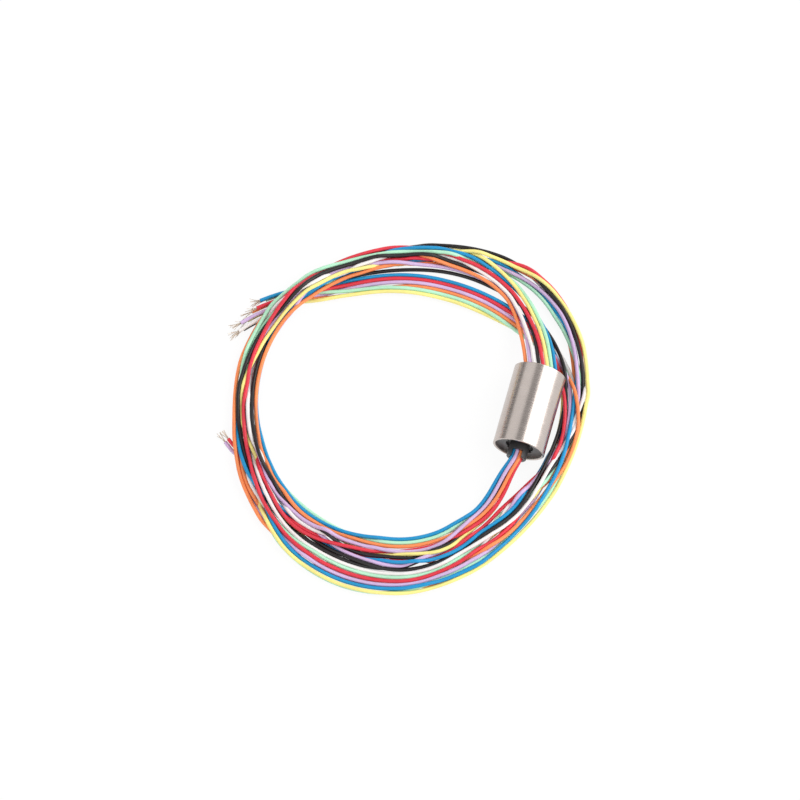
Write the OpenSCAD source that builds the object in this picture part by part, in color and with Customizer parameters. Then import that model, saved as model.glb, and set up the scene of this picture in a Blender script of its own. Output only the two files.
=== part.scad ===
// Capsule slip ring: eight circuits in a plain metal sleeve, with its leads laid in a loose coil.
// The sleeve lies on its side along Y, with the rotor hub towards -Y, on the surface z = 0.

/* [Housing] */
// Outside diameter of the sleeve
housing_d = 11; // [10.6:0.1:12]
// Thickness of the sleeve's wall
wall = 0.5; // [0.4:0.1:0.5]
// Length of the sleeve
sleeve_l = 17.6; // [17.6:0.1:19]

/* [Rotor] */
// Diameter of the shaft under the rings and in the front bearing
shaft_d = 5; // [4.8:0.1:5]
// Diameter of the hub that sticks out of the sleeve
hub_d = 4.2; // [4.1:0.1:4.6]
// How far the hub sticks out
hub_out = 2; // [1.5:0.1:2.5]
// Bore that the rotor leads run through
bore_d = 3; // [2.8:0.05:3.1]
// Width of the slot between the hub's two prongs
slot_w = 2.1; // [1.5:0.1:2.3]

/* [Circuits] */
// Length of one ring and one barrier along the shaft
ring_pitch = 1; // [0.9:0.05:1]
// Thickness of a barrier
barrier_t = 0.3; // [0.2:0.05:0.35]
// Diameter of a ring
ring_d = 6.2; // [6.1:0.05:6.3]
// Diameter of a barrier
barrier_d = 6.7; // [6.5:0.05:6.7]
// Diameter of a brush wire
wire_d = 0.24; // [0.2:0.01:0.26]

/* [Leads] */
// Outside diameter of a lead's insulation
lead_d = 0.8; // [0.6:0.05:0.82]
// Diameter of the stripped, tinned end
core_d = 0.4; // [0.3:0.05:0.5]
// Length of the stripped, tinned end
core_l = 3; // [2:0.5:4]

/* [Hidden] */
$fn = 96;
eps = 0.01;
circuits = 8;

// Along the axis: the whole length, sleeve and hub, is centred on y = 0
axis_z = housing_d / 2;
bore_r = housing_d / 2 - wall;
total_l = sleeve_l + hub_out;
hub_tip = -total_l / 2;
sleeve_front = hub_tip + hub_out;
sleeve_back = total_l / 2;

// Front cover and front bearing, a 5 x 10 x 3
cover_recess = 0.8;
cover_t = 1.2;
cover_front = sleeve_front + cover_recess;
front_bearing = cover_front + cover_t;
front_bearing_w = 3;
front_ball_d = 1.2;
front_ball_n = 9;

// Ring stack
collar_t = 0.5;
stack_start = front_bearing + front_bearing_w + collar_t;
stack_end = stack_start + circuits * ring_pitch + barrier_t;
groove_depth = 0.2;
run_gap = 0.02;

// Rear journal, rear bearing, a 2 x 5 x 1.5, and the end plate that holds it
journal_d = 2;
washer_t = 0.3;
washer_boss = 0.3;
rear_bearing = stack_end + washer_t + washer_boss;
rear_bearing_w = 1.5;
rear_bearing_d = 5;
rear_ball_d = 0.7;
rear_ball_n = 7;
plate_back = sleeve_back - 0.3;

// Brush board, a strip under the ring stack
board_top = barrier_d / 2 + 0.05;
board_t = 0.3;
board_w = 6.5;

// Stator leads leave by holes across the upper half of the end plate, from +X to -X
stator_order = ["blue", "green", "yellow", "red", "black", "white", "violet", "orange"];
stator_hole_ring = 3.85;
stator_hole_pitch = 0.9;
stator_hole_gap = 0.02;
function stator_hole(k) =
    let (x = (3.5 - k) * stator_hole_pitch) [x, sqrt(pow(stator_hole_ring, 2) - x * x)];

// Rotor leads leave by the hub's bore: seven round it and the last in the middle
rotor_order = ["blue", "violet", "orange", "red", "yellow", "white", "green", "black"];
rotor_bundle_ring = 0.95;
function rotor_bundle(k) = k == circuits - 1 ? [0, 0] :
    let (a = 150 - k * 360 / 7) rotor_bundle_ring * [cos(a), sin(a)];

// Colour of each lead
lead_colours = [["black", "#1b1919"], ["white", "#f1eeea"], ["red", "#d22630"], ["orange", "#ee6f2d"],
    ["yellow", "#f2e25c"], ["green", "#9fe0b4"], ["blue", "#0e7fc2"], ["violet", "#b79ad0"]];
function colour_of(name) = [for (c = lead_colours) if (c[0] == name) c[1]][0];

// The coil of all sixteen leads: its middle, and at each angle its inner radius, outer radius and
// height. Angle 0 points from the middle at the sleeve. It steps in at 301, where the rotor leads
// come down beside the others.
coil_middle = [-24.1, -5.6];
coil_turn = 15.3;
coil_form = [
    [0, 31.4, 36.4, 2.0], [10, 32.2, 37.9, 2.0], [20, 32.0, 40.0, 1.7], [30, 31.0, 41.0, 1.6],
    [45, 29.3, 42.5, 1.7], [60, 27.9, 41.2, 1.9], [75, 27.6, 40.2, 2.2], [90, 28.2, 38.8, 2.4],
    [105, 28.7, 38.0, 2.5], [120, 29.9, 38.1, 2.5], [135, 33.1, 38.4, 2.5], [150, 33.5, 38.4, 2.2],
    [165, 31.9, 37.5, 1.9], [180, 31.2, 37.3, 1.9], [195, 30.6, 37.5, 2.2], [210, 30.0, 38.0, 2.3],
    [225, 28.5, 38.8, 2.2], [240, 28.0, 39.3, 2.1], [255, 26.7, 39.6, 2.0], [270, 25.8, 38.5, 2.0],
    [285, 25.1, 36.8, 2.1], [299, 24.3, 35.1, 2.1], [301, 28.3, 35.0, 2.1], [315, 27.6, 34.2, 2.1],
    [330, 28.7, 34.1, 2.0], [345, 29.8, 34.9, 2.0], [360, 31.4, 36.4, 2.0]];
coil_ribs = 7;
rib_dip = 0.25;
function coil_value(a, i) = lookup(a, [for (row = coil_form) [row[0], row[i]]]);
function coil_point(a, r, z) =
    [coil_middle[0] + r * cos(a + coil_turn), coil_middle[1] + r * sin(a + coil_turn), z];

// Where the rotor leads come down from the hub: angle, radius and height of the bundle's middle,
// and how far it has opened from its round form to four lanes in two layers
rotor_fall = [[330, 24.2, 5.2, 0], [326, 24.1, 4.4, 0.2], [320, 24.7, 3.1, 0.5], [314, 25.4, 1.9, 0.8],
    [308, 25.8, 1.1, 1], [303, 26.0, 0.84, 1], [299.5, 26.1, 0.84, 1]];
rotor_lane = [-1.5, -0.5, 0.5, 1.5, 1.5, -0.5, -1.5, 0.5];
rotor_layer = [0.5, 0.5, 0.5, 0.5, -0.5, -0.5, -0.5, -0.5];
rotor_pitch = 0.86;
rotor_slack = 1.2;

// Where the stator leads come down on the coil: angle, radius and height of the row's middle, how
// far it has parted into two layers, and how far its lanes have closed up
stator_fall = [[26, 30.2, 7.4, 0.4, 0], [32, 31.2, 5.9, 0.8, 0.15], [38, 32.5, 4.3, 1, 0.45],
    [44, 33.8, 2.7, 1, 0.8], [49, 35.1, 1.7, 1, 1]];
stator_lane = [1.25, 1.7, 0.8, -0.1, 0.35, -1, -0.55, -1.45];
stator_layer = [-0.42, 0.42, 0.42, 0.42, -0.42, 0.42, -0.42, -0.42];

// The free ends past the coil: name, angle and radius where one leaves the coil, how far it goes on
// round and how high it lies. Each runs outwards a little with every degree.
stator_tails = [
    ["blue", 131, 37.6, 9, 1.24], ["green", 131, 37.6, 7.5, 0.42],
    ["red", 135, 37.6, 7.5, 1.24], ["orange", 135, 37.6, 9, 0.42],
    ["violet", 139, 37.6, 10, 1.24], ["yellow", 139, 37.6, 8, 0.42],
    ["white", 143, 37.6, 8.5, 1.24], ["black", 143, 37.6, 7, 0.42]];
rotor_tails = [["violet", 193.5, 36.5, -6, 0.42], ["red", 191, 36.5, -4, 1.24]];
tail_flare = 0.35;

// ---- shared forms -------------------------------------------------------------------------

// Puts a shape made along +Z on the sleeve's axis, starting at y; its +Y then points down
module on_axis(y) {
    translate([0, y, axis_z]) rotate([-90, 0, 0]) children();
}

module ring_shape(r_in, r_out, w) {
    difference() {
        cylinder(r = r_out, h = w);
        translate([0, 0, -eps]) cylinder(r = r_in, h = w + 2 * eps);
    }
}

// One race of a ball bearing: a ring with the balls' groove cut into the side that faces them
module race(r_in, r_out, w, pitch_r, ball_d) {
    difference() {
        ring_shape(r_in, r_out, w);
        translate([0, 0, w / 2]) rotate_extrude() translate([pitch_r, 0])
            circle(r = ball_d / 2 + run_gap, $fn = 48);
    }
}

module balls(pitch_r, ball_d, n, w) {
    for (k = [0:n - 1]) rotate([0, 0, k * 360 / n]) translate([pitch_r, 0, w / 2])
        sphere(d = ball_d, $fn = 32);
}

// A ring with one drilled pocket for each ball
module cage(pitch_r, ball_d, n, w) {
    cage_w = w * 0.56;
    thick = ball_d * 0.42;
    difference() {
        translate([0, 0, (w - cage_w) / 2]) ring_shape(pitch_r - thick / 2, pitch_r + thick / 2, cage_w);
        for (k = [0:n - 1]) rotate([0, 0, k * 360 / n]) translate([pitch_r, 0, w / 2])
            rotate([0, 90, 0]) cylinder(d = ball_d + 4 * run_gap, h = 2 * thick, center = true, $fn = 32);
    }
}

// A round tube swept along a list of points, none of whose steps is vertical
function unit(v) = v / norm(v);
function heading(path, i) = unit(path[min(i + 1, len(path) - 1)] - path[max(i - 1, 0)]);
function tube_points(path, d, sides) = [
    for (i = [0:len(path) - 1])
        let (ahead = heading(path, i), side = unit(cross(ahead, [0, 0, 1])), up = cross(side, ahead))
        for (k = [0:sides - 1]) let (a = (k + 0.5) * 360 / sides)
            path[i] + d / 2 * (cos(a) * side + sin(a) * up)
];
function tube_faces(rings, sides) = concat(
    [[for (k = [0:sides - 1]) k]],
    [for (i = [0:rings - 2]) for (k = [0:sides - 1]) let (n = (k + 1) % sides)
        each [[i * sides + k, (i + 1) * sides + k, (i + 1) * sides + n],
            [i * sides + k, (i + 1) * sides + n, i * sides + n]]],
    [[for (k = [sides - 1:-1:0]) (rings - 1) * sides + k]]
);
module tube(path, d, sides = 8) {
    polyhedron(tube_points(path, d, sides), tube_faces(len(path), sides), convexity = 6);
}

// ---- housing ------------------------------------------------------------------------------

module housing_sleeve() {
    edge = 0.12;
    color("silver") on_axis(sleeve_front) rotate_extrude() polygon([
        [bore_r, edge], [bore_r + edge, 0], [housing_d / 2 - edge, 0], [housing_d / 2, edge],
        [housing_d / 2, sleeve_l - edge], [housing_d / 2 - edge, sleeve_l],
        [bore_r + edge, sleeve_l], [bore_r, sleeve_l - edge]]);
}

// Plastic disc that closes the rotor end, stepped and notched round the shaft
module front_cover() {
    step_r = 2.95;
    notch_r = 3.4;
    step_depth = 0.6;
    color("#3a3a3c") on_axis(cover_front) difference() {
        ring_shape(shaft_d / 2 + 0.15, bore_r, cover_t);
        translate([0, 0, -eps]) cylinder(r = step_r, h = step_depth);
        for (a = [45:90:315]) rotate([0, 0, a]) translate([0, -0.5, -eps])
            intersection() {
                cube([notch_r, 1, step_depth]);
                translate([0, 0.5, 0]) cylinder(r = notch_r, h = step_depth);
            }
    }
}

// Plastic plug at the stator end: it holds the rear bearing and lets the eight leads out
module stator_end_plate() {
    plate_l = plate_back - rear_bearing;
    color("#2c2c2e") on_axis(rear_bearing) difference() {
        cylinder(r = bore_r, h = plate_l);
        translate([0, 0, -eps]) cylinder(d = rear_bearing_d, h = rear_bearing_w + eps);
        cylinder(d = journal_d + 0.4, h = rear_bearing_w + 0.5);
        for (k = [0:circuits - 1]) translate([stator_hole(k)[0], -stator_hole(k)[1], -eps])
            cylinder(d = lead_d + 2 * stator_hole_gap, h = plate_l + 2 * eps, $fn = 32);
    }
}

// ---- bearings -----------------------------------------------------------------------------

front_pitch_r = (shaft_d / 2 + bore_r) / 2;
rear_pitch_r = (journal_d + rear_bearing_d) / 4;
race_gap = 0.4;

module front_outer_race() {
    color("lightsteelblue") on_axis(front_bearing)
        race(front_pitch_r + race_gap, bore_r, front_bearing_w, front_pitch_r, front_ball_d);
}
module front_inner_race() {
    color("lightsteelblue") on_axis(front_bearing)
        race(shaft_d / 2, front_pitch_r - race_gap, front_bearing_w, front_pitch_r, front_ball_d);
}
module front_cage() {
    color("goldenrod") on_axis(front_bearing)
        cage(front_pitch_r, front_ball_d, front_ball_n, front_bearing_w);
}
module front_balls() {
    color("gainsboro") on_axis(front_bearing)
        balls(front_pitch_r, front_ball_d, front_ball_n, front_bearing_w);
}
module rear_outer_race() {
    color("lightsteelblue") on_axis(rear_bearing)
        race(rear_pitch_r + race_gap / 2, rear_bearing_d / 2, rear_bearing_w, rear_pitch_r, rear_ball_d);
}
module rear_inner_race() {
    color("lightsteelblue") on_axis(rear_bearing)
        race(journal_d / 2, rear_pitch_r - race_gap / 2, rear_bearing_w, rear_pitch_r, rear_ball_d);
}
module rear_cage() {
    color("goldenrod") on_axis(rear_bearing)
        cage(rear_pitch_r, rear_ball_d, rear_ball_n, rear_bearing_w);
}
module rear_balls() {
    color("gainsboro") on_axis(rear_bearing)
        balls(rear_pitch_r, rear_ball_d, rear_ball_n, rear_bearing_w);
}

// ---- rotor --------------------------------------------------------------------------------

// Moulded shaft: slotted hub, bearing seat, collar, ring seat and rear journal, bored from the hub
module rotor_shaft() {
    slot_l = 1.5;
    hub_l = front_bearing - hub_tip - 0.6;
    seat_end = stack_end - hub_tip;
    journal_end = seat_end + washer_t + washer_boss + rear_bearing_w + 0.2;
    collar_at = stack_start - collar_t - hub_tip;
    relief = 0.15;
    lead_window_w = 1;
    color("#232325") on_axis(hub_tip) difference() {
        rotate_extrude() polygon([
            [0, 0], [hub_d / 2 - relief, 0], [hub_d / 2, relief], [hub_d / 2, hub_l],
            [shaft_d / 2, hub_l], [shaft_d / 2, collar_at], [shaft_d / 2 + 0.5, collar_at],
            [shaft_d / 2 + 0.5, collar_at + collar_t], [shaft_d / 2, collar_at + collar_t],
            [shaft_d / 2, seat_end], [journal_d / 2, seat_end], [journal_d / 2, journal_end],
            [0, journal_end]]);
        translate([0, 0, -eps]) cylinder(d = bore_d, h = seat_end - 0.8);
        translate([-slot_w / 2, -hub_d, -eps]) cube([slot_w, 2 * hub_d, slot_l]);
        translate([0, -lead_window_w / 2, collar_at + collar_t + barrier_t])
            cube([shaft_d, lead_window_w, circuits * ring_pitch - barrier_t - 0.4]);
    }
}

module slip_ring(k) {
    w = ring_pitch - barrier_t;
    color("gold") on_axis(stack_start + barrier_t + k * ring_pitch) rotate_extrude() polygon([
        [shaft_d / 2, 0], [ring_d / 2, 0], [ring_d / 2, w / 2 - groove_depth],
        [ring_d / 2 - groove_depth, w / 2], [ring_d / 2, w / 2 + groove_depth],
        [ring_d / 2, w], [shaft_d / 2, w]]);
}

module ring_barriers() {
    color("#454548") for (k = [0:circuits])
        on_axis(stack_start + k * ring_pitch) ring_shape(shaft_d / 2, barrier_d / 2, barrier_t);
}

// Washer with a boss, pressed on the journal: it closes the ring stack and spaces the bearing
module rotor_end_washer() {
    color("#c9b27a") on_axis(stack_end) {
        ring_shape(journal_d / 2, ring_d / 2, washer_t);
        translate([0, 0, washer_t]) ring_shape(journal_d / 2, journal_d / 2 + 0.3, washer_boss);
    }
}

// ---- brushes ------------------------------------------------------------------------------

module brush_board() {
    board_l = rear_bearing - stack_start + collar_t;
    color("#2f6b3c") translate([-board_w / 2, rear_bearing - board_l, axis_z - board_top - board_t])
        cube([board_w, board_l, board_t]);
}

// Two spring wires that stand on the board and run in the groove of one ring, left and right
module brush_pair(k) {
    groove_r = ring_d / 2 - groove_depth;
    reach = groove_r + (wire_d / 2 + run_gap) * sqrt(2);
    wire_top = 1.6;
    y = stack_start + barrier_t + k * ring_pitch + (ring_pitch - barrier_t) / 2;
    color("#d8b45a") for (side = [-1, 1]) translate([side * reach, y, axis_z - board_top])
        cylinder(d = wire_d, h = board_top + wire_top, $fn = 24);
}

// ---- leads --------------------------------------------------------------------------------

function index_in(list, name) = search([name], list)[0];

// A lead of a bundle keeps its own place, across and up, beside the bundle's middle
function beside(middle, i, across, up) =
    let (ahead = heading(middle, i), side = unit(cross([0, 0, 1], ahead)))
    middle[i] + across * side + up * cross(ahead, side);

// Straight out of the bore past the hub's prongs, then down and left to the floor
rotor_middle = concat([for (y = [hub_tip + 3, hub_tip + 0.2, hub_tip - 0.9]) [0, y, axis_z]],
    [for (f = rotor_fall) coil_point(f[0], f[1], f[2])]);
function rotor_path(k) = [for (i = [0:len(rotor_middle) - 1])
    let (s = i < 3 ? 0 : rotor_fall[i - 3][3], p = rotor_bundle(k), wide = 1 + rotor_slack * s * (1 - s))
    beside(rotor_middle, i, wide * ((1 - s) * p[0] + s * rotor_lane[k] * rotor_pitch),
        wide * ((1 - s) * p[1] + s * rotor_layer[k] * rotor_pitch))];

// Through the end plate, straight out past the sleeve, then down into the coil
stator_row_z = axis_z + stator_hole(3)[1];
stator_middle = concat([for (y = [rear_bearing + 0.1, sleeve_back, sleeve_back + 1.2]) [0, y, stator_row_z]],
    [for (f = stator_fall) coil_point(f[0], f[1], f[2])]);
function stator_path(k) = [for (i = [0:len(stator_middle) - 1])
    let (down = i < 3 ? 0 : stator_fall[i - 3][3], in = i < 3 ? 0 : stator_fall[i - 3][4],
        p = stator_hole(k) - [0, stator_hole(3)[1]])
    beside(stator_middle, i, -((1 - in) * p[0] + in * stator_lane[k]),
        (1 - down) * p[1] + down * stator_layer[k])];

module rotor_lead(name) {
    color(colour_of(name)) tube(rotor_path(index_in(rotor_order, name)), lead_d);
}

module stator_lead(name) {
    color(colour_of(name)) tube(stator_path(index_in(stator_order, name)), lead_d);
}

// Outer shape of the coil: a flat ring whose top is ribbed by the leads that lie side by side
function coil_section(a) =
    let (r_in = coil_value(a, 1), r_out = coil_value(a, 2), high = coil_value(a, 3), n = 3 * coil_ribs)
    concat(
        [[r_out, 0], [r_in, 0]],
        [for (i = [0:n]) let (u = i / n, dome = 1 - pow(abs(2 * u - 1), 3))
            [r_in + u * (r_out - r_in),
                lead_d + (high - lead_d) * dome - (i % 3 == 0 ? rib_dip : 0)]]
    );
module lead_coil() {
    stations = len(coil_form) - 1;
    angles = [for (i = [0:stations - 1]) each [coil_form[i][0], (coil_form[i][0] + coil_form[i + 1][0]) / 2]];
    m = 3 * coil_ribs + 3;
    n = len(angles);
    color("#9a8f94") polyhedron(
        [for (a = angles) for (p = coil_section(a)) coil_point(a, p[0], p[1])],
        [for (i = [0:n - 1]) for (k = [0:m - 1]) let (j = (i + 1) % n, l = (k + 1) % m)
            each [[i * m + k, j * m + k, j * m + l], [i * m + k, j * m + l, i * m + l]]],
        convexity = 6);
}

// The free ends of the leads, which come out of the coil's outer side
function tail_path(t) = [for (u = [0, 0.5, 1])
    coil_point(t[1] + u * t[3], t[2] + u * tail_flare * abs(t[3]), t[4])];
function tip_path(t) = let (p = tail_path(t), ahead = unit(p[2] - p[1]))
    [p[2], p[2] + core_l / 2 * ahead, p[2] + core_l * ahead];

module rotor_lead_ends() {
    for (t = rotor_tails) color(colour_of(t[0])) tube(tail_path(t), lead_d);
}
module stator_lead_ends() {
    for (t = stator_tails) color(colour_of(t[0])) tube(tail_path(t), lead_d);
}
module tinned_tips() {
    color("gainsboro") for (t = concat(rotor_tails, stator_tails)) tube(tip_path(t), core_d);
}

// ---- all the pieces -----------------------------------------------------------------------

housing_sleeve();
front_cover();
stator_end_plate();
front_outer_race();
front_inner_race();
front_cage();
front_balls();
rear_outer_race();
rear_inner_race();
rear_cage();
rear_balls();
rotor_shaft();
ring_barriers();
rotor_end_washer();
brush_board();
for (k = [1:circuits]) {
    slip_ring(k - 1);
    brush_pair(k - 1);
}
for (row = lead_colours) {
    rotor_lead(row[0]);
    stator_lead(row[0]);
}
lead_coil();
rotor_lead_ends();
stator_lead_ends();
tinned_tips();
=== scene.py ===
"""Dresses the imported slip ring: its metal sleeve, its works and its sixteen coiled leads."""

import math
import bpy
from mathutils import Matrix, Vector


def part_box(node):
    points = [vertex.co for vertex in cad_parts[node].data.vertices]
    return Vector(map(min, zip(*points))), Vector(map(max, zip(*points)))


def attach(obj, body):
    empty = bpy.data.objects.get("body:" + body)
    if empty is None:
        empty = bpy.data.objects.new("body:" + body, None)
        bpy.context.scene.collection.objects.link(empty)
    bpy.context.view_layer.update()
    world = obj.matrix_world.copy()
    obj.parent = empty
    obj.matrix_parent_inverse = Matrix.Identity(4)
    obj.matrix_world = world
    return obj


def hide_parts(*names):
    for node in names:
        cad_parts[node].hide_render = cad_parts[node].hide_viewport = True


bl_info = {
    "name": "Slip Ring",
    "version": (1, 0, 0),
    "blender": (4, 5, 0),
    "location": "View3D > Sidebar > Slip Ring",
    "description": "Capsule slip ring with eight circuits and its leads laid in a loose coil",
    "category": "Object",
}

import bpy
import numpy as np
from mathutils import Vector

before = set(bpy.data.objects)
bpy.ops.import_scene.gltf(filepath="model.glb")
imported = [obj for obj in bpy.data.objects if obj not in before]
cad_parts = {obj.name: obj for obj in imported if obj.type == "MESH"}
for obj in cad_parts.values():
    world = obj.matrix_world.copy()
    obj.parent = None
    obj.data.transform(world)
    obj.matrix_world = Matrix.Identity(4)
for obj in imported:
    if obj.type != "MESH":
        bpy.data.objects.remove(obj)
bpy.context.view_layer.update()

MM = 0.001

# ---- facts shared with the part's source ---------------------------------------------------

SLEEVE_LOW, SLEEVE_HIGH = (Vector(corner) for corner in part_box("housing_sleeve"))
HUB_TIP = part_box("rotor_shaft")[0][1]
AXIS_Z = (SLEEVE_LOW.z + SLEEVE_HIGH.z) / 2
SLEEVE_BACK = SLEEVE_HIGH.y
REAR_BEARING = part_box("rear_outer_race")[0][1]

# The coil's middle, and the turn of its angle 0, which points from the middle at the sleeve
COIL_MIDDLE = (-24.1 * MM, -5.6 * MM)
COIL_TURN = 15.3

# Letters of the leads: small ones leave by the hub, capitals by the end plate
COLOURS = {"k": "black", "w": "white", "r": "red", "o": "orange",
           "y": "yellow", "g": "green", "b": "blue", "v": "violet"}

# Rotor leads leave by the hub's bore: seven round it and the last in the middle
ROTOR_ORDER = "bvorywgk"
ROTOR_BUNDLE_RING = 0.95
ROTOR_LANE = (-1.5, -0.5, 0.5, 1.5, 1.5, -0.5, -1.5, 0.5)
ROTOR_LAYER = (0.5, 0.5, 0.5, 0.5, -0.5, -0.5, -0.5, -0.5)
ROTOR_PITCH = 0.86
ROTOR_SLACK = 1.2

# Angle, radius and height of the bundle's middle where it comes down from the hub, and how far
# it has opened from its round form to four lanes in two layers
ROTOR_FALL = ((330, 24.2, 5.2, 0), (326, 24.1, 4.4, 0.2), (320, 24.7, 3.1, 0.5), (314, 25.4, 1.9, 0.8),
              (308, 25.8, 1.1, 1), (303, 26.0, 0.84, 1), (299.5, 26.1, 0.84, 1))

# Stator leads leave by holes across the upper half of the end plate, from +X to -X
STATOR_ORDER = "BGYRKWVO"
STATOR_HOLE_RING = 3.85
STATOR_HOLE_PITCH = 0.9
STATOR_LANE = (1.25, 1.7, 0.8, -0.1, 0.35, -1, -0.55, -1.45)
STATOR_LAYER = (-0.42, 0.42, 0.42, 0.42, -0.42, 0.42, -0.42, -0.42)

# Angle, radius and height of the row's middle where it comes down on the coil, how far it has
# parted into two layers, and how far its lanes have closed up
STATOR_FALL = ((26, 30.2, 7.4, 0.4, 0), (32, 31.2, 5.9, 0.8, 0.15), (38, 32.5, 4.3, 1, 0.45),
               (44, 33.8, 2.7, 1, 0.8), (49, 35.1, 1.7, 1, 1))

# The free ends past the coil: lead, angle and radius where it leaves the coil, how far it goes on
# round and how high it lies
TAILS = {"B": (131, 37.6, 9, 1.24), "G": (131, 37.6, 7.5, 0.42), "R": (135, 37.6, 7.5, 1.24),
         "O": (135, 37.6, 9, 0.42), "V": (139, 37.6, 10, 1.24), "Y": (139, 37.6, 8, 0.42),
         "W": (143, 37.6, 8.5, 1.24), "K": (143, 37.6, 7, 0.42),
         "v": (193.5, 36.5, -6, 0.42), "r": (191, 36.5, -4, 1.24)}
TAIL_FLARE = 0.35

# How the leads lie round the coil. At each angle, one or more bands: outer and inner radius, the
# leads seen on top from the outside in, those hidden under them, and how high the band is lifted.
# A 2 after a letter is that lead's second time round.
LAY = (
    (0, ((36.0, 31.8, "y O w V b R K", "k g v o B r W G Y", 0),)),
    (15, ((38.3, 33.2, "y k g v O V K R", "w r b o W B Y G", 0),)),
    (30, ((40.7, 37.9, "y k v g", "r w b o", 0), (34.9, 31.2, "K B R V O", "W Y G", 0))),
    (45, ((42.3, 39.4, "r y k v g", "o w b", 0), (34.8, 34.8, "K", "", 0),
          (32.7, 29.0, "B R V O G", "W Y", 0))),
    (60, ((41.5, 39.0, "k r y b v", "w o g", 0), (38.1, 34.9, "Y B R W O", "G K V", 0.3),
          (34.3, 34.3, "K2", "", 0), (31.7, 27.9, "B2 R2 V2 O2 G2 Y2", "W2", 0))),
    (75, ((39.5, 34.7, "k y B G R K O", "w v b r g o Y W V", 0), (33.9, 33.9, "K2", "", 0),
          (31.3, 27.6, "B2 R2 V2 O2 G2 Y2", "W2", 0))),
    (90, ((38.0, 34.0, "R B G K o r V", "k w Y v W y g O b", 0), (33.2, 33.2, "K2", "", 0),
          (31.8, 28.2, "B2 R2 V2 O2 G2 Y2", "W2", 0))),
    (112, ((37.2, 33.9, "R G K y w", "k W O B g Y v r b o V", 0.5),
           (33.4, 29.4, "K2 B2 R2 V2 G2 Y2", "W2 O2", 0))),
    (124, ((37.2, 33.9, "G R K y W", "k O w B g Y v r b o V", 1.3),
           (34.2, 31.5, "K2 B2 R2 V2 G2 Y2", "W2 O2", 0))),
    (135, ((37.5, 34.3, "G W R K y o", "O k Y w B r g v b V", 0.9),)),
    (157, ((37.4, 33.1, "O G K R y k o", "W Y B w V r g v b", 0),)),
    (180, ((36.0, 31.7, "O K R w k o", "B Y G r W V y v g b", 0),)),
    (190, ((36.6, 31.2, "O B K R w k o b", "Y G y2 g2 b2 W r V o2 w2 k2 y v g", 0),)),
    (202, ((37.4, 30.8, "O B K R W r k o b", "v2 r2 Y G y2 g2 b2 V w o2 w2 k2 y v g", 0),)),
    (225, ((38.6, 29.1, "y2 b2 R G W r w r2 v o b g", "g2 O v2 o2 w2 k2 Y K B V k y", 0),)),
    (248, ((39.4, 27.8, "y2 b2 v2 R G W K V k r v o b", "g2 o2 w2 O Y k2 B r2 y w g", 0),)),
    (270, ((38.4, 26.7, "y2 b2 v2 R G W K V B k y v r o g b", "g2 o2 w2 k2 r2 Y O w", 0),)),
    (285, ((36.6, 25.9, "y2 b2 v2 g2 R W K B y k v r o g b", "o2 w2 O G r2 Y V k2 w", 0),)),
    (300, ((34.7, 28.6, "y2 v2 O R G W K B", "g2 b2 o2 Y w2 k2 V r2", 0),)),
    (315, ((33.9, 33.9, "y", "", 0), (32.7, 27.1, "O R W K B k V w r", "b g v o Y G", 0))),
    (330, ((33.6, 33.6, "g", "y", 0), (32.5, 28.7, "b G W K V r", "O v o w R Y k B", 0))),
    (345, ((34.5, 34.5, "O", "y", 0), (33.4, 30.3, "b R k W K", "g w v B o r G Y V", 0))),
)
STEP = 4
ROW = 0.7
ROTOR_END = -172

# Angles where the leads of each side are down on the coil, and free to settle from there on
ROTOR_DOWN, STATOR_DOWN = 298, 40


# ---- settings ------------------------------------------------------------------------------

class LeadSettings(bpy.types.PropertyGroup):
    """Sizes and colours of the sixteen leads."""
    diameter: bpy.props.FloatProperty(
        name="Diameter", description="Outside diameter of a lead's insulation",
        default=0.8 * MM, min=0.6 * MM, max=0.82 * MM, precision=5, unit="LENGTH")
    rotor_length: bpy.props.FloatProperty(
        name="Rotor lead length", description="Length of a lead from the hub to its cut end",
        default=0.3, min=0.25, max=0.35, unit="LENGTH")
    stator_length: bpy.props.FloatProperty(
        name="Stator lead length", description="Length of a lead from the end plate to its cut end",
        default=0.3, min=0.25, max=0.35, unit="LENGTH")
    stripped_length: bpy.props.FloatProperty(
        name="Stripped length", description="Length of bare strands past the insulation",
        default=3.0 * MM, min=1.5 * MM, max=5 * MM, precision=5, unit="LENGTH")
    strands: bpy.props.IntProperty(
        name="Strands", description="Number of tinned strands in a lead", default=7, min=3, max=19)
    black: bpy.props.FloatVectorProperty(
        name="Black", description="Colour of the black leads", default=(0.010, 0.007, 0.008),
        min=0, max=1, subtype="COLOR")
    white: bpy.props.FloatVectorProperty(
        name="White", description="Colour of the white leads", default=(0.84, 0.80, 0.79),
        min=0, max=1, subtype="COLOR")
    red: bpy.props.FloatVectorProperty(
        name="Red", description="Colour of the red leads", default=(0.70, 0.03, 0.055),
        min=0, max=1, subtype="COLOR")
    orange: bpy.props.FloatVectorProperty(
        name="Orange", description="Colour of the orange leads", default=(0.90, 0.26, 0.085),
        min=0, max=1, subtype="COLOR")
    yellow: bpy.props.FloatVectorProperty(
        name="Yellow", description="Colour of the yellow leads", default=(0.90, 0.80, 0.26),
        min=0, max=1, subtype="COLOR")
    green: bpy.props.FloatVectorProperty(
        name="Green", description="Colour of the green leads", default=(0.44, 0.79, 0.56),
        min=0, max=1, subtype="COLOR")
    blue: bpy.props.FloatVectorProperty(
        name="Blue", description="Colour of the blue leads", default=(0.002, 0.27, 0.56),
        min=0, max=1, subtype="COLOR")
    violet: bpy.props.FloatVectorProperty(
        name="Violet", description="Colour of the violet leads", default=(0.60, 0.43, 0.68),
        min=0, max=1, subtype="COLOR")


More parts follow.
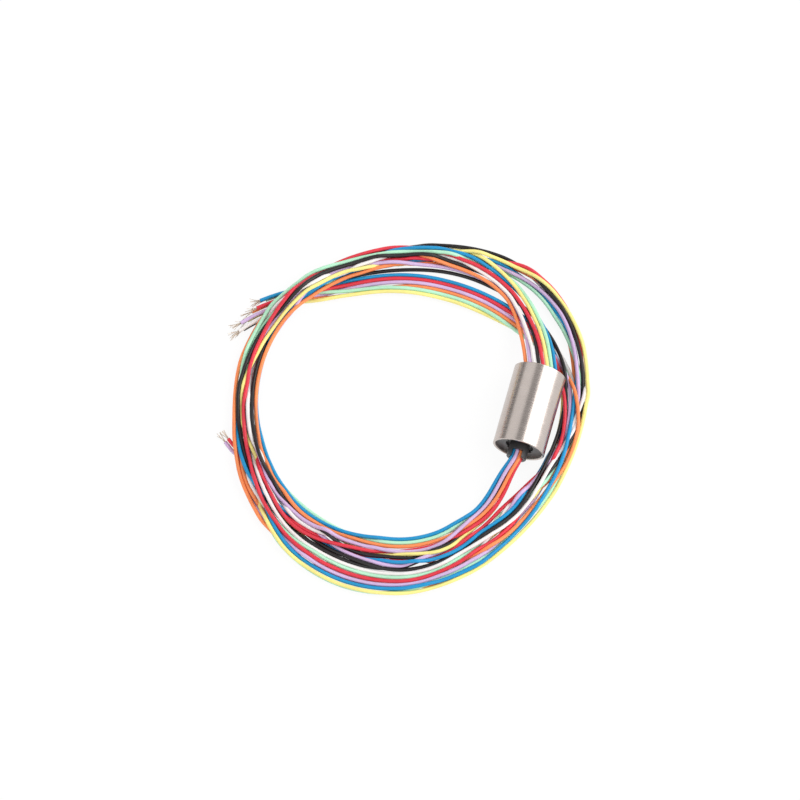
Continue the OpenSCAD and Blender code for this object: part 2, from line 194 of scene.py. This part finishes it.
class FinishSettings(bpy.types.PropertyGroup):
    """Finishes of the sleeve and the works inside it."""
    steel: bpy.props.FloatVectorProperty(
        name="Sleeve steel", description="Colour of the turned sleeve", default=(0.57, 0.505, 0.47),
        min=0, max=1, subtype="COLOR")
    steel_roughness: bpy.props.FloatProperty(
        name="Sleeve roughness", description="Roughness of the turned sleeve",
        default=0.24, min=0.05, max=0.6, subtype="FACTOR")
    moulding: bpy.props.FloatVectorProperty(
        name="Moulding", description="Colour of the dark plastic mouldings",
        default=(0.055, 0.052, 0.054), min=0, max=1, subtype="COLOR")
    gold: bpy.props.FloatVectorProperty(
        name="Gold plate", description="Colour of the rings' plating", default=(0.95, 0.63, 0.22),
        min=0, max=1, subtype="COLOR")


class StageSettings(bpy.types.PropertyGroup):
    """Camera, light and floor."""
    azimuth: bpy.props.FloatProperty(
        name="Azimuth", description="Turn of the camera about the part",
        default=math.radians(15.3), subtype="ANGLE")
    elevation: bpy.props.FloatProperty(
        name="Elevation", description="Height of the camera over the floor",
        default=math.radians(70), subtype="ANGLE")
    distance: bpy.props.FloatProperty(
        name="Distance", description="Distance from the camera to what it looks at",
        default=1.392, min=0.5, max=4, unit="LENGTH")
    aim: bpy.props.FloatVectorProperty(
        name="Aim", description="Point that the camera looks at",
        default=(-27.1 * MM, -1.8 * MM, 0), subtype="TRANSLATION")
    light: bpy.props.FloatProperty(
        name="Light", description="Strength of the lamps", default=1.0, min=0.1, max=3)


# ---- materials -----------------------------------------------------------------------------

def new_material(name):
    material = bpy.data.materials.new(name)
    material.use_nodes = True
    nodes = material.node_tree.nodes
    return material, nodes, material.node_tree.links, nodes["Principled BSDF"]


def texture_space(nodes, links, stretch=(1, 1, 1)):
    """Object coordinates in metres, stretched."""
    place = nodes.new("ShaderNodeTexCoord")
    mapping = nodes.new("ShaderNodeMapping")
    mapping.inputs["Scale"].default_value = stretch
    links.new(place.outputs["Object"], mapping.inputs["Vector"])
    return mapping.outputs["Vector"]


def noise(nodes, links, space, scale, detail=3.0, roughness=0.5):
    texture = nodes.new("ShaderNodeTexNoise")
    texture.inputs["Scale"].default_value = scale
    texture.inputs["Detail"].default_value = detail
    texture.inputs["Roughness"].default_value = roughness
    links.new(space, texture.inputs["Vector"])
    return texture.outputs["Fac"]


def tones(nodes, links, factor, low, high, start=0.3, stop=0.7):
    """Runs between two colours as the factor goes from start to stop."""
    ramp = nodes.new("ShaderNodeValToRGB")
    ramp.color_ramp.elements[0].position = start
    ramp.color_ramp.elements[0].color = (*low, 1)
    ramp.color_ramp.elements[1].position = stop
    ramp.color_ramp.elements[1].color = (*high, 1)
    links.new(factor, ramp.inputs["Fac"])
    return ramp.outputs["Color"]


def span(nodes, links, factor, low, high):
    """A number that runs from low to high with the factor."""
    to = nodes.new("ShaderNodeMapRange")
    to.inputs["From Min"].default_value = 0.3
    to.inputs["From Max"].default_value = 0.7
    to.inputs["To Min"].default_value = low
    to.inputs["To Max"].default_value = high
    links.new(factor, to.inputs["Value"])
    return to.outputs["Result"]


def relief(nodes, links, height, depth, strength=1.0, under=None):
    bump = nodes.new("ShaderNodeBump")
    bump.inputs["Strength"].default_value = strength
    bump.inputs["Distance"].default_value = depth
    links.new(height, bump.inputs["Height"])
    if under is not None:
        links.new(under, bump.inputs["Normal"])
    return bump.outputs["Normal"]


def shade(colour, by):
    return tuple(max(0.0, min(1.0, c * by)) for c in colour)


def insulation_finish(name, colour):
    """Extruded insulation: satin, a little uneven in colour and gloss along its length."""
    material, nodes, links, shader = new_material(name)
    space = texture_space(nodes, links)
    cloud = noise(nodes, links, space, 160, 4)
    grain = noise(nodes, links, space, 2600, 2)
    links.new(tones(nodes, links, cloud, shade(colour, 0.86), shade(colour, 1.06)),
              shader.inputs["Base Color"])
    links.new(span(nodes, links, grain, 0.34, 0.5), shader.inputs["Roughness"])
    links.new(relief(nodes, links, grain, 0.01 * MM, 0.4), shader.inputs["Normal"])
    shader.inputs["IOR"].default_value = 1.46
    shader.inputs["Subsurface Weight"].default_value = 0.08
    shader.inputs["Subsurface Radius"].default_value = (0.2 * MM, 0.2 * MM, 0.2 * MM)
    return material


def turned_steel_finish(name, colour, roughness):
    """Turned tube: fine rings round the axis, soft stains and a satin sheen."""
    material, nodes, links, shader = new_material(name)
    rings = noise(nodes, links, texture_space(nodes, links, (60, 9000, 60)), 1, 3, 0.6)
    cloud = noise(nodes, links, texture_space(nodes, links), 240, 4)
    links.new(tones(nodes, links, cloud, shade(colour, 0.94), shade(colour, 1.05)),
              shader.inputs["Base Color"])
    links.new(span(nodes, links, rings, roughness * 0.85, roughness * 1.25), shader.inputs["Roughness"])
    links.new(relief(nodes, links, rings, 0.004 * MM, 0.35), shader.inputs["Normal"])
    shader.inputs["Metallic"].default_value = 1.0
    return material


def moulded_finish(name, colour, roughness=0.45):
    """Moulded plastic with a fine texture and faint flow marks."""
    material, nodes, links, shader = new_material(name)
    space = texture_space(nodes, links)
    grain = noise(nodes, links, space, 9000, 2)
    flow = noise(nodes, links, space, 420, 4)
    links.new(tones(nodes, links, flow, shade(colour, 0.8), shade(colour, 1.25)),
              shader.inputs["Base Color"])
    links.new(span(nodes, links, flow, roughness * 0.85, roughness * 1.2), shader.inputs["Roughness"])
    links.new(relief(nodes, links, grain, 0.008 * MM, 0.35), shader.inputs["Normal"])
    return material


def polished_metal_finish(name, colour, roughness=0.18, scratch=(3000, 3000, 3000)):
    """Ground or plated metal with fine scratches along one way."""
    material, nodes, links, shader = new_material(name)
    marks = noise(nodes, links, texture_space(nodes, links, scratch), 1, 3, 0.6)
    cloud = noise(nodes, links, texture_space(nodes, links), 700, 3)
    links.new(tones(nodes, links, cloud, shade(colour, 0.86), shade(colour, 1.04)),
              shader.inputs["Base Color"])
    links.new(span(nodes, links, marks, roughness * 0.7, roughness * 1.4), shader.inputs["Roughness"])
    links.new(relief(nodes, links, marks, 0.002 * MM, 0.3), shader.inputs["Normal"])
    shader.inputs["Metallic"].default_value = 1.0
    return material


def board_finish(name):
    """Glass-fibre board: green resist over a fine woven cloth."""
    material, nodes, links, shader = new_material(name)
    space = texture_space(nodes, links)
    weave = nodes.new("ShaderNodeTexWave")
    weave.inputs["Scale"].default_value = 1200
    weave.inputs["Distortion"].default_value = 1.5
    links.new(space, weave.inputs["Vector"])
    links.new(tones(nodes, links, weave.outputs["Fac"], (0.012, 0.11, 0.035), (0.02, 0.17, 0.06), 0, 1),
              shader.inputs["Base Color"])
    links.new(relief(nodes, links, weave.outputs["Fac"], 0.004 * MM, 0.3), shader.inputs["Normal"])
    shader.inputs["Roughness"].default_value = 0.35
    return material


def dress(node, material):
    """Gives a CAD node its finish in every material slot."""
    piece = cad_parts[node]
    if not piece.material_slots:
        piece.data.materials.append(material)
    for slot in piece.material_slots:
        slot.material = material


# ---- how the leads lie ---------------------------------------------------------------------

def coil_place(angle, radius, height):
    """Point of the coil, from an angle in degrees and a radius and height in millimetres."""
    a = math.radians(angle + COIL_TURN)
    return Vector((COIL_MIDDLE[0] + radius * MM * math.cos(a),
                   COIL_MIDDLE[1] + radius * MM * math.sin(a), height * MM))


def coil_polar(point):
    """Angle in degrees, radius and height in millimetres of a point."""
    x, y = point.x - COIL_MIDDLE[0], point.y - COIL_MIDDLE[1]
    return (math.degrees(math.atan2(y, x)) - COIL_TURN) % 360, math.hypot(x, y) / MM, point.z / MM


def beside(middle, i, across, up):
    """A lead of a bundle keeps its own place, across and up, beside the bundle's middle."""
    ahead = (middle[min(i + 1, len(middle) - 1)] - middle[max(i - 1, 0)]).normalized()
    side = Vector((0, 0, 1)).cross(ahead).normalized()
    return middle[i] + across * MM * side + up * MM * ahead.cross(side)


def eased(route, start, stop, rounds=2):
    """Takes the kinks out of part of a route and leaves its ends where they are."""
    for _ in range(rounds):
        middle = [(route[i - 1] + 2 * route[i] + route[i + 1]) / 4 for i in range(start, stop)]
        route[start:stop] = middle
    return route


def rotor_exit(k):
    """Out of the bore past the hub's prongs, then down to the floor."""
    middle = [Vector((0, HUB_TIP + y * MM, AXIS_Z)) for y in (3, 0.2, -0.9)]
    middle += [coil_place(*fall[:3]) for fall in ROTOR_FALL]
    a = math.radians(150 - k * 360 / 7)
    place = (0, 0) if k == 7 else (ROTOR_BUNDLE_RING * math.cos(a), ROTOR_BUNDLE_RING * math.sin(a))
    route = []
    for i in range(len(middle)):
        s = 0 if i < 3 else ROTOR_FALL[i - 3][3]
        wide = 1 + ROTOR_SLACK * s * (1 - s)
        route.append(beside(middle, i,
                            wide * ((1 - s) * place[0] + s * ROTOR_LANE[k] * ROTOR_PITCH),
                            wide * ((1 - s) * place[1] + s * ROTOR_LAYER[k] * ROTOR_PITCH)))
    return eased(route, 2, len(route) - 1)


def stator_hole(k):
    x = (3.5 - k) * STATOR_HOLE_PITCH
    return x, math.sqrt(STATOR_HOLE_RING ** 2 - x * x)


def stator_exit(k):
    """Through the end plate, straight out past the sleeve, then down on the coil."""
    row_z = AXIS_Z + stator_hole(3)[1] * MM
    middle = [Vector((0, y, row_z)) for y in (REAR_BEARING + 0.1 * MM, SLEEVE_BACK, SLEEVE_BACK + 1.2 * MM)]
    middle += [coil_place(*fall[:3]) for fall in STATOR_FALL]
    place = (stator_hole(k)[0], stator_hole(k)[1] - stator_hole(3)[1])
    route = []
    for i in range(len(middle)):
        down, closed = (0, 0) if i < 3 else STATOR_FALL[i - 3][3:]
        route.append(beside(middle, i, -((1 - closed) * place[0] + closed * STATOR_LANE[k]),
                            (1 - down) * place[1] + down * STATOR_LAYER[k]))
    return eased(route, 2, 5, 4)


def lay_targets():
    """For each lead, where the lay puts it: unrolled angle, radius and height."""
    targets = {letter: [] for letter in ROTOR_ORDER + STATOR_ORDER}
    for angle, bands in LAY:
        for outer, inner, top, under, lift in bands:
            top, under = top.split(), under.split()
            room = int((outer - inner) / 0.8) + 1
            rows = [under[i:i + room] for i in range(0, len(under), room)] + [top]
            for level, row in enumerate(rows):
                for n, code in enumerate(row):
                    share = n / (len(row) - 1) if len(row) > 1 else 0.5
                    radius = outer + (inner - outer) * share
                    letter, second = code[0], len(code) > 1
                    if letter.islower():
                        unrolled = angle - 360 * (second or angle > 300)
                    else:
                        unrolled = angle + 360 * (second or angle < 49)
                    targets[letter].append((unrolled, radius, 0.4 + ROW * level + lift))
    return targets


def tail_route(letter):
    """The free end past the coil."""
    angle, radius, turn, height = TAILS[letter]
    return [(angle + u * turn, radius + u * TAIL_FLARE * abs(turn), height) for u in (0, 0.5, 1)]


def lay_leads():
    """Settles the leads beside and on each other, and returns the points of each one's middle."""
    targets = lay_targets()
    strands = []
    for letter, points in targets.items():
        rotor = letter.islower()
        order = ROTOR_ORDER if rotor else STATOR_ORDER
        exit_route = (rotor_exit if rotor else stator_exit)(order.index(letter))
        fall = [coil_polar(p) for p in exit_route[3:]]
        tail = tail_route(letter) if letter in TAILS else []
        if tail:
            tail = [(a + (-360 if rotor else 360), r, z) for a, r, z in tail]
        end = tail[0][0] if tail else ROTOR_END + (order.index(letter) % 4) * 2
        if rotor:
            route = fall + sorted((p for p in points if end < p[0] < 296), reverse=True) + tail
        else:
            route = fall + sorted(p for p in points if 53 < p[0] < end - 6) + tail
        if not tail:
            last = min(points)
            route.append((end, last[1], last[2]))
        angles = np.array([p[0] for p in route])
        way = -1 if rotor else 1
        first = math.ceil(way * angles[0] / STEP) * STEP * way
        grid = np.arange(first, angles[-1] + way * 0.01, way * STEP)
        order_up = np.argsort(angles)
        radius = np.interp(grid, angles[order_up], np.array([p[1] for p in route])[order_up])
        height = np.interp(grid, angles[order_up], np.array([p[2] for p in route])[order_up])
        held = (grid > ROTOR_DOWN) if rotor else (grid < STATOR_DOWN)
        if tail:
            held = held | ((grid < tail[0][0]) if rotor else (grid > tail[0][0]))
        strands.append({"letter": letter, "exit": exit_route, "grid": grid, "radius": radius,
                        "height": height, "held": held, "tail": tail})
    settle(strands)
    routes = {}
    for strand in strands:
        rotor = strand["letter"].islower()
        points = strand["exit"][:3] + [p for p in strand["exit"][3:]
                                       if rotor or coil_polar(p)[0] < STATOR_DOWN - 1]
        joined = len(points)
        for angle, radius, height in zip(strand["grid"], strand["radius"], strand["height"]):
            past = angle < ROTOR_DOWN if rotor else angle > STATOR_DOWN
            if past and not (strand["tail"] and
                             (angle < strand["tail"][0][0] + 2 if rotor else angle > strand["tail"][0][0] - 2)):
                points.append(coil_place(angle, radius, height))
        eased(points, joined - 1, joined + 2)
        points += [coil_place(*p) for p in strand["tail"]]
        routes[strand["letter"]] = points
    return routes


def settle(strands, rounds=260, calm=90, gap=0.82):
    """Pushes leads that would run through each other apart, section by section of the coil.

    Where two of them change places, one is lifted over the other."""
    radius, height, held, slot, onward = [], [], [], [], []
    starts = []
    for strand in strands:
        start, count = len(radius), len(strand["grid"])
        way = -1 if strand["letter"].islower() else 1
        starts.append(start)
        radius += list(strand["radius"])
        height += list(strand["height"])
        held += list(strand["held"])
        slot += [int(round((a % 360) / STEP)) % (360 // STEP) for a in strand["grid"]]
        onward += [min(max(start + i + way, start), start + count - 1) for i in range(count)]
    radius, height, onward = np.array(radius), np.array(height), np.array(onward)
    held, slot = np.array(held), np.array(slot)
    free = (~held).astype(float)
    goal_r, goal_z = radius.copy(), height.copy()
    pairs = [(a, b) for section in range(360 // STEP)
             for here in [np.nonzero(slot == section)[0]]
             for n, a in enumerate(here) for b in here[n + 1:]]
    pa, pb = np.array(pairs).T
    na, nb = onward[pa], onward[pb]
    both = np.maximum(free[pa] + free[pb], 1)
    weight_a, weight_b = free[pa] / both, free[pb] / both
    over = np.sign(goal_z[pa] + goal_z[na] - goal_z[pb] - goal_z[nb] + 1e-4)
    inner = np.ones(len(radius), bool)
    for start, strand in zip(starts, strands):
        inner[start] = inner[start + len(strand["grid"]) - 1] = False
    inner = np.nonzero(inner & ~held)[0]
    for turn in range(rounds):
        last = turn > rounds - calm
        pull = 0.01 if last else 0.1
        radius += free * pull * (goal_r - radius)
        height += free * pull * (goal_z - height)
        even = 0.06 if last else 0.4
        for line in (radius, height):
            line[inner] += even * ((line[inner - 1] + line[inner + 1]) / 2 - line[inner])
        for _ in range(2):
            dr, dz = radius[pa] - radius[pb], height[pa] - height[pb]
            swaps = (dr * (radius[na] - radius[nb]) < 0) & (na != pa) & (nb != pb)
            dz = np.where(np.abs(dz) < 0.05, dz + 0.05 * over, dz)
            far = np.sqrt(dr * dr + dz * dz)
            push = np.where(swaps, 0, np.clip(gap - far, 0, 0.3) / np.maximum(far, 0.05))
            lift = np.where(swaps, np.clip(gap - dz * over, 0, 0.3) * over, 0)
            move_r, move_z = np.zeros(len(radius)), np.zeros(len(radius))
            touch = np.zeros(len(radius))
            for spots, sign, weight in ((pa, 1, weight_a), (pb, -1, weight_b)):
                np.add.at(move_r, spots, sign * push * dr * weight)
                np.add.at(move_z, spots, sign * (push * dz + lift) * weight)
                np.add.at(touch, spots, (push > 0) | (lift != 0))
            later = np.where(swaps, np.clip(gap - (height[na] - height[nb]) * over, 0, 0.3) * over, 0)
            for spots, sign, weight in ((na, 1, weight_a), (nb, -1, weight_b)):
                np.add.at(move_z, spots, sign * later * weight)
                np.add.at(touch, spots, later != 0)
            ease = 1 / np.maximum(1, touch / 2)
            radius += free * move_r * ease
            height += free * move_z * ease
            height = np.maximum(height, 0.4)
    for start, strand in zip(starts, strands):
        strand["radius"] = radius[start:start + len(strand["grid"])]
        strand["height"] = height[start:start + len(strand["grid"])]


def lead_curve(name, points, diameter, material):
    """A lead as one smooth curve with a round section."""
    curve = bpy.data.curves.new(name, "CURVE")
    curve.dimensions = "3D"
    spline = curve.splines.new("BEZIER")
    spline.bezier_points.add(len(points) - 1)
    for spot, point in zip(spline.bezier_points, points):
        spot.co = point
        spot.handle_left_type = spot.handle_right_type = "AUTO"
    spline.resolution_u = 3
    curve.bevel_depth = diameter / 2
    curve.bevel_resolution = 3
    curve.use_fill_caps = True
    curve.materials.append(material)
    piece = bpy.data.objects.new(name, curve)
    bpy.context.scene.collection.objects.link(piece)
    return piece


def stripped_strands(name, end, ahead, length, count, material, seed):
    """Bare tinned strands that splay past the cut insulation, each one bent its own way."""
    curve = bpy.data.curves.new(name, "CURVE")
    curve.dimensions = "3D"
    chance = np.random.default_rng(seed)
    side = Vector((0, 0, 1)).cross(ahead).normalized()
    up = ahead.cross(side)
    for n in range(count):
        a = 2 * math.pi * n / max(count - 1, 1)
        ring = 0 if n == count - 1 else 0.13 * MM
        splay, reach = chance.uniform(0.15, 0.55), chance.uniform(0.75, 1.0)
        bend = chance.uniform(-0.35, 0.35)
        spline = curve.splines.new("BEZIER")
        spline.bezier_points.add(3)
        for i, spot in enumerate(spline.bezier_points):
            u = i / 3
            out = ring + splay * length * u * u * 0.5
            spot.co = (end + ahead * (length * (u * reach - 0.12))
                       + side * (out * math.cos(a) + bend * length * u * u * 0.5)
                       + up * out * math.sin(a))
            spot.co.z = max(spot.co.z, 0.08 * MM)
            spot.handle_left_type = spot.handle_right_type = "AUTO"
        spline.resolution_u = 3
    curve.bevel_depth = 0.055 * MM
    curve.bevel_resolution = 1
    curve.materials.append(material)
    piece = bpy.data.objects.new(name, curve)
    bpy.context.scene.collection.objects.link(piece)
    return piece


def build_leads(letters, exits):
    """Makes the leads of one side, with their bare ends."""
    settings = bpy.context.scene.slip_ring_leads
    routes = lay_leads()
    tin = bpy.data.materials.get("Tinned copper") or polished_metal_finish(
        "Tinned copper", (0.66, 0.56, 0.47), 0.35)
    for number, letter in enumerate(letters):
        colour = COLOURS[letter.lower()]
        finish = "Insulation " + colour
        material = bpy.data.materials.get(finish) or insulation_finish(finish, tuple(getattr(settings, colour)))
        side = "rotor" if letter.islower() else "stator"
        points = routes[letter]
        lead = lead_curve(f"{side}_lead_{colour}_run", points, settings.diameter, material)
        ahead = (points[-1] - points[-2]).normalized()
        bare = stripped_strands(f"{side}_strands_{colour}", points[-1], ahead, settings.stripped_length,
                                settings.strands, tin, seed=number + (40 if letter.isupper() else 0))
        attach(lead, "housing")
        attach(bare, "housing")
        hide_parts(f"{side}_lead_{colour}", "lead_coil", f"{side}_lead_ends")
        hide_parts("tinned_tips")
        tuple(exits(number))


# ---- operators -----------------------------------------------------------------------------

class SLIPRING_OT_camera(bpy.types.Operator):
    """Place the camera over the part"""
    bl_idname = "slip_ring.camera"
    bl_label = "Camera"

    def execute(self, context):
        stage = context.scene.slip_ring_stage
        camera = bpy.data.objects.new("camera", bpy.data.cameras.new("camera"))
        context.scene.collection.objects.link(camera)
        camera.data.lens = 300
        camera.data.sensor_width = 36
        camera.data.clip_start = 0.01
        a, e = stage.azimuth, stage.elevation
        back = Vector((math.sin(a) * math.cos(e), -math.cos(a) * math.cos(e), math.sin(e)))
        camera.location = Vector(stage.aim) + back * stage.distance
        camera.rotation_euler = (-back).to_track_quat("-Z", "Y").to_euler()
        context.scene.camera = camera
        return {"FINISHED"}


class SLIPRING_OT_rotor_leads(bpy.types.Operator):
    """Lay the eight leads that leave by the hub"""
    bl_idname = "slip_ring.rotor_leads"
    bl_label = "Rotor leads"

    def execute(self, context):
        build_leads(ROTOR_ORDER, lambda k: rotor_exit(k)[1])
        return {"FINISHED"}


class SLIPRING_OT_stator_leads(bpy.types.Operator):
    """Lay the eight leads that leave by the end plate"""
    bl_idname = "slip_ring.stator_leads"
    bl_label = "Stator leads"

    def execute(self, context):
        build_leads(STATOR_ORDER, lambda k: stator_exit(k)[1])
        return {"FINISHED"}


class SLIPRING_OT_sleeve(bpy.types.Operator):
    """Finish the sleeve as turned steel"""
    bl_idname = "slip_ring.sleeve"
    bl_label = "Sleeve"

    def execute(self, context):
        finish = context.scene.slip_ring_finish
        dress("housing_sleeve", turned_steel_finish("Turned steel", tuple(finish.steel),
                                                    finish.steel_roughness))
        return {"FINISHED"}


class SLIPRING_OT_mouldings(bpy.types.Operator):
    """Finish the cover, end plate, shaft and barriers as moulded plastic"""
    bl_idname = "slip_ring.mouldings"
    bl_label = "Mouldings"

    def execute(self, context):
        colour = tuple(context.scene.slip_ring_finish.moulding)
        dress("front_cover", moulded_finish("Cover plastic", shade(colour, 1.3), 0.42))
        dress("stator_end_plate", moulded_finish("End plate plastic", shade(colour, 0.8), 0.5))
        dress("rotor_shaft", moulded_finish("Shaft plastic", shade(colour, 0.75), 0.38))
        dress("ring_barriers", moulded_finish("Barrier plastic", shade(colour, 1.1), 0.5))
        return {"FINISHED"}


class SLIPRING_OT_bearings(bpy.types.Operator):
    """Finish both ball bearings"""
    bl_idname = "slip_ring.bearings"
    bl_label = "Bearings"

    def execute(self, context):
        race = polished_metal_finish("Bearing steel", (0.55, 0.56, 0.58), 0.16, (200, 6000, 200))
        ball = polished_metal_finish("Ball steel", (0.62, 0.62, 0.63), 0.07)
        cage = polished_metal_finish("Cage brass", (0.78, 0.55, 0.24), 0.3)
        for end in ("front", "rear"):
            dress(end + "_outer_race", race)
            dress(end + "_inner_race", race)
            dress(end + "_balls", ball)
            dress(end + "_cage", cage)
        dress("rotor_end_washer", polished_metal_finish("Washer brass", (0.72, 0.54, 0.27), 0.3,
                                                        (300, 5000, 300)))
        return {"FINISHED"}


class SLIPRING_OT_circuits(bpy.types.Operator):
    """Finish the rings, the brushes and their board"""
    bl_idname = "slip_ring.circuits"
    bl_label = "Rings and brushes"

    def execute(self, context):
        gold = tuple(context.scene.slip_ring_finish.gold)
        ring = polished_metal_finish("Gold plate", gold, 0.2, (200, 9000, 200))
        wire = polished_metal_finish("Brush wire", (0.86, 0.66, 0.36), 0.22, (3000, 3000, 200))
        for n in range(1, 9):
            dress(f"slip_ring_{n}", ring)
            dress(f"brush_pair_{n}", wire)
        dress("brush_board", board_finish("Board resist"))
        return {"FINISHED"}


class SLIPRING_OT_stage(bpy.types.Operator):
    """Make the floor, the lamps and the world"""
    bl_idname = "slip_ring.stage"
    bl_label = "Stage"

    def execute(self, context):
        strength = context.scene.slip_ring_stage.light
        scene = context.scene
        scene.view_settings.view_transform = "Standard"
        world = bpy.data.worlds.new("studio")
        scene.world = world
        world.use_nodes = True
        nodes, links = world.node_tree.nodes, world.node_tree.links
        nodes["Background"].inputs["Color"].default_value = (1, 0.99, 0.98, 1)
        nodes["Background"].inputs["Strength"].default_value = 0.75 * strength
        seen = nodes.new("ShaderNodeBackground")
        seen.inputs["Color"].default_value = (1, 1, 1, 1)
        seen.inputs["Strength"].default_value = 1.0
        mix = nodes.new("ShaderNodeMixShader")
        links.new(self.seen_rays(nodes, links), mix.inputs["Fac"])
        links.new(nodes["Background"].outputs["Background"], mix.inputs[1])
        links.new(seen.outputs["Background"], mix.inputs[2])
        links.new(mix.outputs["Shader"], nodes["World Output"].inputs["Surface"])

        floor_mesh = bpy.data.meshes.new("floor")
        reach = 1.5
        floor_mesh.from_pydata([(-reach, -reach, 0), (reach, -reach, 0), (reach, reach, 0),
                                (-reach, reach, 0)], [], [(0, 1, 2, 3)])
        floor = bpy.data.objects.new("floor", floor_mesh)
        scene.collection.objects.link(floor)
        floor_mesh.materials.append(self.paper())

        for name, place, size, power in (
                ("softbox_right", (0.62, 0.28, 0.62), (0.9, 1.0), 7.0),
                ("softbox_left", (-0.75, 0.3, 0.75), (0.5, 0.9), 1.4),
                ("fill_front", (-0.1, -0.8, 0.7), (0.8, 0.5), 1.6)):
            data = bpy.data.lights.new(name, "AREA")
            data.shape = "RECTANGLE"
            data.size, data.size_y = size
            data.energy = power * strength
            lamp = bpy.data.objects.new(name, data)
            lamp.location = place
            lamp.rotation_euler = (Vector((-0.02, 0, 0)) - Vector(place)).to_track_quat("-Z", "Y").to_euler()
            lamp.visible_camera = False
            lamp.visible_glossy = name != "softbox_left"
            scene.collection.objects.link(lamp)
        self.card("card_above", -4, 0.22, 0.38)
        self.card("card_left", -90, 0.28, 0.25)
        return {"FINISHED"}

    @staticmethod
    def seen_rays(nodes, links):
        """1 for what is seen straight, in metal or through glass, and 0 for light on the part."""
        ray = nodes.new("ShaderNodeLightPath")
        seen = ray.outputs["Is Camera Ray"]
        for name in ("Is Glossy Ray", "Is Transmission Ray"):
            either = nodes.new("ShaderNodeMath")
            either.operation = "MAXIMUM"
            links.new(seen, either.inputs[0])
            links.new(ray.outputs[name], either.inputs[1])
            seen = either.outputs["Value"]
        return seen

    @staticmethod
    def card(name, turn, width, glow):
        """A grey card that only the sleeve's reflections see, at an angle from straight up."""
        a = math.radians(turn)
        place = Vector((0.944 * math.sin(a), 0.33, 0.944 * math.cos(a))) * 0.4
        across = Vector((math.cos(a), 0, -math.sin(a))) * width / 2
        along = place.normalized().cross(across.normalized()) * 0.2
        mesh = bpy.data.meshes.new(name)
        mesh.from_pydata([place - across - along, place + across - along, place + across + along,
                          place - across + along], [], [(0, 1, 2, 3)])
        material = bpy.data.materials.new(name)
        material.use_nodes = True
        nodes, links = material.node_tree.nodes, material.node_tree.links
        grey = nodes.new("ShaderNodeEmission")
        grey.inputs["Strength"].default_value = glow
        links.new(grey.outputs["Emission"], nodes["Material Output"].inputs["Surface"])
        mesh.materials.append(material)
        piece = bpy.data.objects.new(name, mesh)
        bpy.context.scene.collection.objects.link(piece)
        piece.visible_camera = piece.visible_diffuse = piece.visible_shadow = False
        piece.visible_transmission = False

    @staticmethod
    def paper():
        """White paper that keeps a faint shadow."""
        material, nodes, links, shader = new_material("Floor paper")
        grain = noise(nodes, links, texture_space(nodes, links), 900, 3)
        links.new(tones(nodes, links, grain, (0.93, 0.93, 0.93), (0.97, 0.97, 0.97)),
                  shader.inputs["Base Color"])
        shader.inputs["Roughness"].default_value = 0.9
        shader.inputs["Specular IOR Level"].default_value = 0.1
        glow = nodes.new("ShaderNodeEmission")
        glow.inputs["Color"].default_value = (1, 1, 1, 1)
        glow.inputs["Strength"].default_value = 1.0
        share = nodes.new("ShaderNodeMath")
        share.operation = "MULTIPLY"
        share.inputs[1].default_value = 0.9
        links.new(SLIPRING_OT_stage.seen_rays(nodes, links), share.inputs[0])
        mix = nodes.new("ShaderNodeMixShader")
        links.new(share.outputs["Value"], mix.inputs["Fac"])
        links.new(shader.outputs["BSDF"], mix.inputs[1])
        links.new(glow.outputs["Emission"], mix.inputs[2])
        links.new(mix.outputs["Shader"], nodes["Material Output"].inputs["Surface"])
        return material


class SLIPRING_PT_panel(bpy.types.Panel):
    """Settings and pieces of the slip ring"""
    bl_label = "Slip Ring"
    bl_idname = "SLIPRING_PT_panel"
    bl_space_type = "VIEW_3D"
    bl_region_type = "UI"
    bl_category = "Slip Ring"

    def draw(self, context):
        layout = self.layout
        for title, group in (("Leads", context.scene.slip_ring_leads),
                             ("Finish", context.scene.slip_ring_finish),
                             ("Stage", context.scene.slip_ring_stage)):
            box = layout.box()
            box.label(text=title)
            for name in group.__annotations__:
                box.prop(group, name)
        for operator in OPERATORS:
            layout.operator(operator.bl_idname)


SETTINGS = (LeadSettings, FinishSettings, StageSettings)
OPERATORS = (SLIPRING_OT_camera, SLIPRING_OT_rotor_leads, SLIPRING_OT_stator_leads, SLIPRING_OT_sleeve,
             SLIPRING_OT_mouldings, SLIPRING_OT_bearings, SLIPRING_OT_circuits, SLIPRING_OT_stage)


def register():
    for item in SETTINGS + OPERATORS + (SLIPRING_PT_panel,):
        bpy.utils.register_class(item)
    bpy.types.Scene.slip_ring_leads = bpy.props.PointerProperty(type=LeadSettings)
    bpy.types.Scene.slip_ring_finish = bpy.props.PointerProperty(type=FinishSettings)
    bpy.types.Scene.slip_ring_stage = bpy.props.PointerProperty(type=StageSettings)


def unregister():
    del bpy.types.Scene.slip_ring_stage
    del bpy.types.Scene.slip_ring_finish
    del bpy.types.Scene.slip_ring_leads
    for item in reversed(SETTINGS + OPERATORS + (SLIPRING_PT_panel,)):
        bpy.utils.unregister_class(item)


def main():
    register()
    for operator in OPERATORS:
        group, name = operator.bl_idname.split(".")
        getattr(getattr(bpy.ops, group), name)()


if __name__ == "__main__":
    main()
